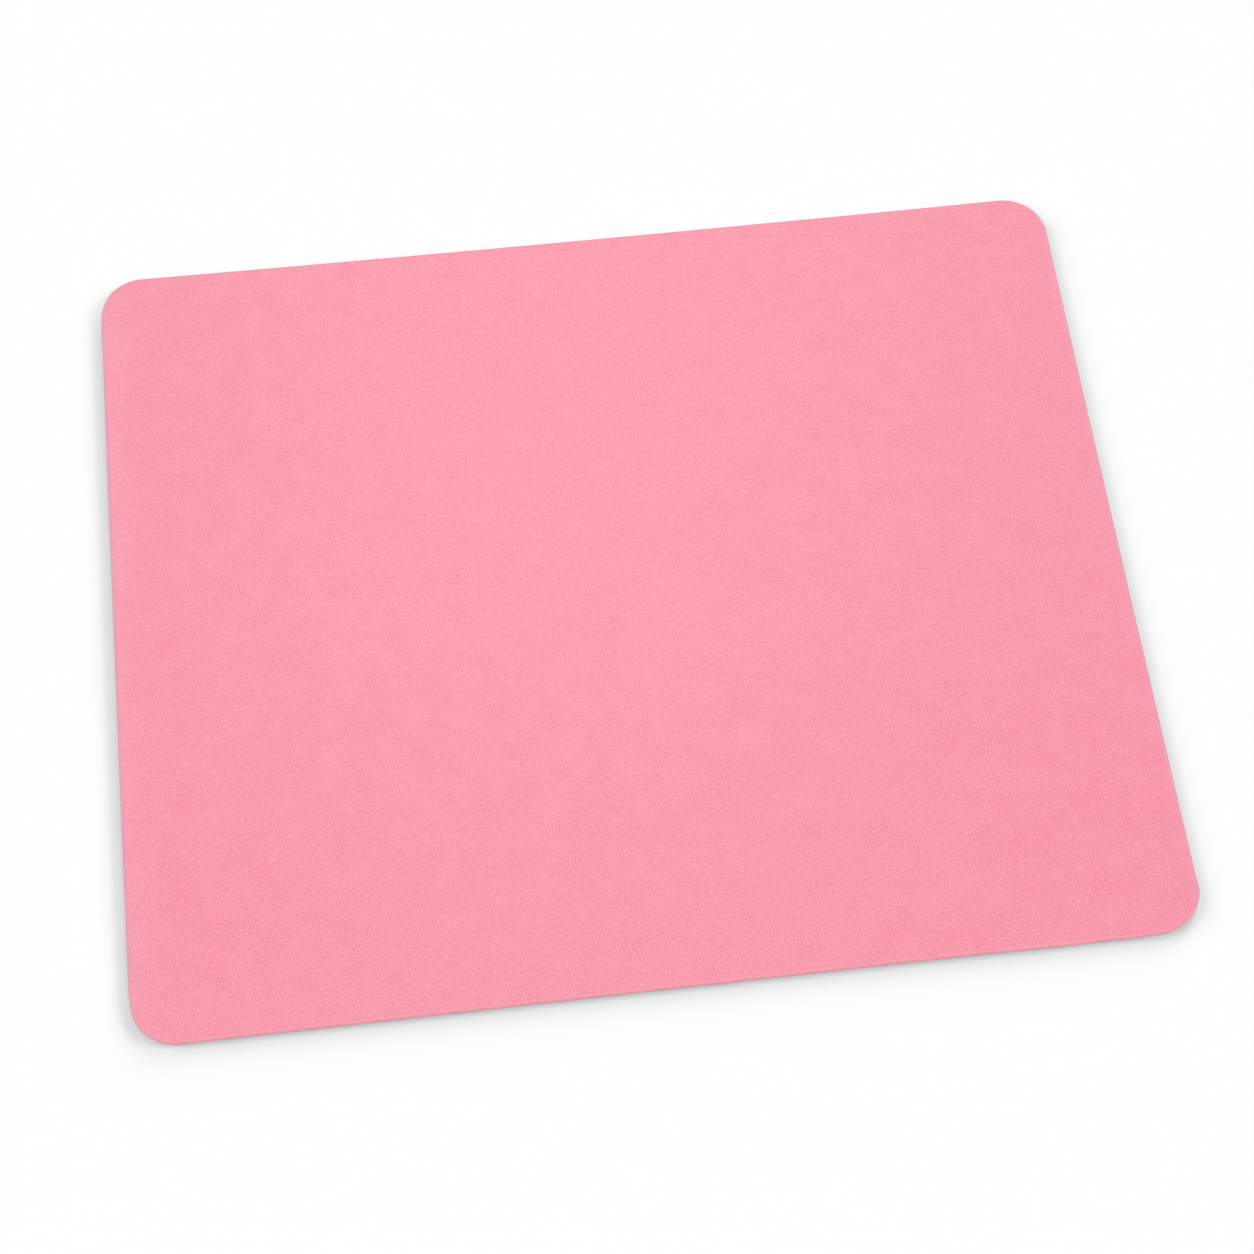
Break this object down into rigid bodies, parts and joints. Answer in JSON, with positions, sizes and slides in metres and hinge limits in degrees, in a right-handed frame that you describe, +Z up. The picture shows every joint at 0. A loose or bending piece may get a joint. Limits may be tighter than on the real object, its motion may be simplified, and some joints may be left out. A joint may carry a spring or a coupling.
{
  "type": "mouse pad",
  "caption": "Thin rectangular mouse pad with rounded corners: a fine-grained pink face on a cushioned laminate with a coated edge and a wavy non-slip rubber base.",
  "frame": {"origin": "centre of the underside, where the pad rests on the desk", "axes": "+X along the long side, to the user's right; +Y away from the user; +Z up through the thickness"},
  "size_m": [0.24, 0.2, 0.002],
  "materials": {
    "base_rubber": "matte",
    "bond_film": "satin",
    "core_foam": "matte",
    "carrier_cloth": "matte",
    "pink_skin": "matte",
    "edge_paint": "matte"
  },
  "bodies": {
    "root": {"grip_base": "base_rubber", "lower_bond_film": "bond_film", "foam_core": "core_foam", "upper_bond_film": "bond_film", "backing_cloth": "carrier_cloth", "leather_face": "pink_skin", "edge_coat": "edge_paint"}
  },
  "joints": []
}
